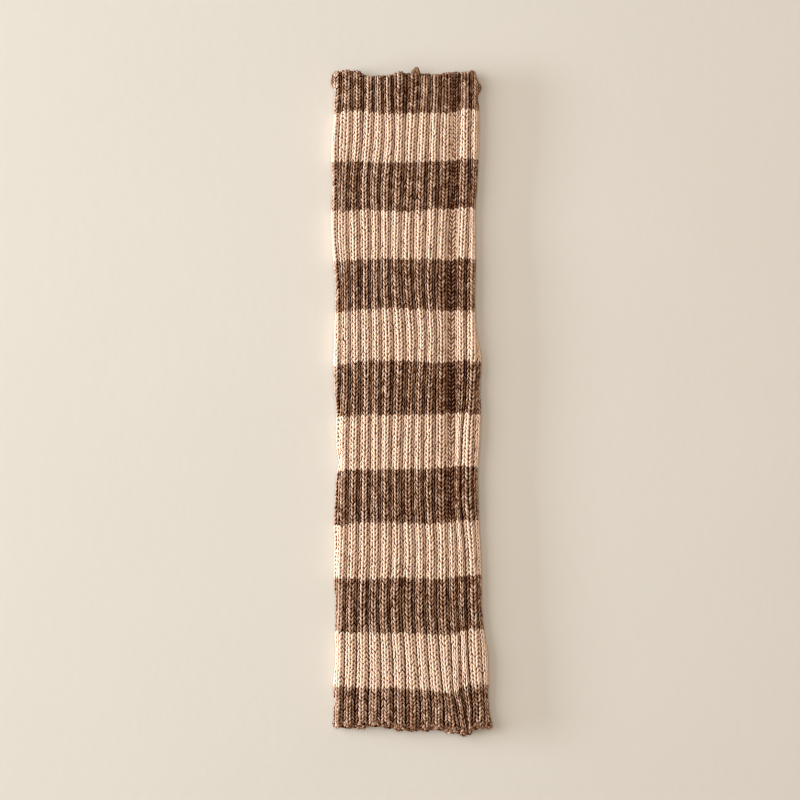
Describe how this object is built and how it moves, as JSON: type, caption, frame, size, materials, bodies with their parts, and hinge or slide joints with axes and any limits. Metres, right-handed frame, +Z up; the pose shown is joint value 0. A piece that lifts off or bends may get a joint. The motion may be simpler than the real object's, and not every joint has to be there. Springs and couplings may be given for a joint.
{
  "type": "leg warmer",
  "caption": "Ribbed knitted leg warmer in brown and beige stripes, one tube open at both ends, laid flat with its back under its front.",
  "frame": {"origin": "on the surface that the leg warmer lies on, under the middle of its box", "axes": "+X across the tube, +Y along it towards the upper, narrower end, +Z up from the surface through both layers"},
  "size_m": [0.1004, 0.4217, 0.009],
  "materials": {
    "brown_yarn": "matt heathered brown wool-like yarn, soft and slightly fuzzy",
    "beige_yarn": "matt warm beige wool-like yarn, soft and slightly fuzzy"
  },
  "bodies": {
    "root": {"stripe_01_brown": "brown_yarn", "stripe_02_beige": "beige_yarn", "stripe_03_brown": "brown_yarn", "stripe_04_beige": "beige_yarn", "stripe_05_brown": "brown_yarn", "stripe_06_beige": "beige_yarn", "stripe_07_brown": "brown_yarn", "stripe_08_beige": "beige_yarn", "stripe_09_brown": "brown_yarn", "stripe_10_beige": "beige_yarn", "stripe_11_brown": "brown_yarn", "stripe_12_beige": "beige_yarn", "stripe_13_brown": "brown_yarn", "edge_yarn_loop": "brown_yarn"}
  },
  "joints": []
}
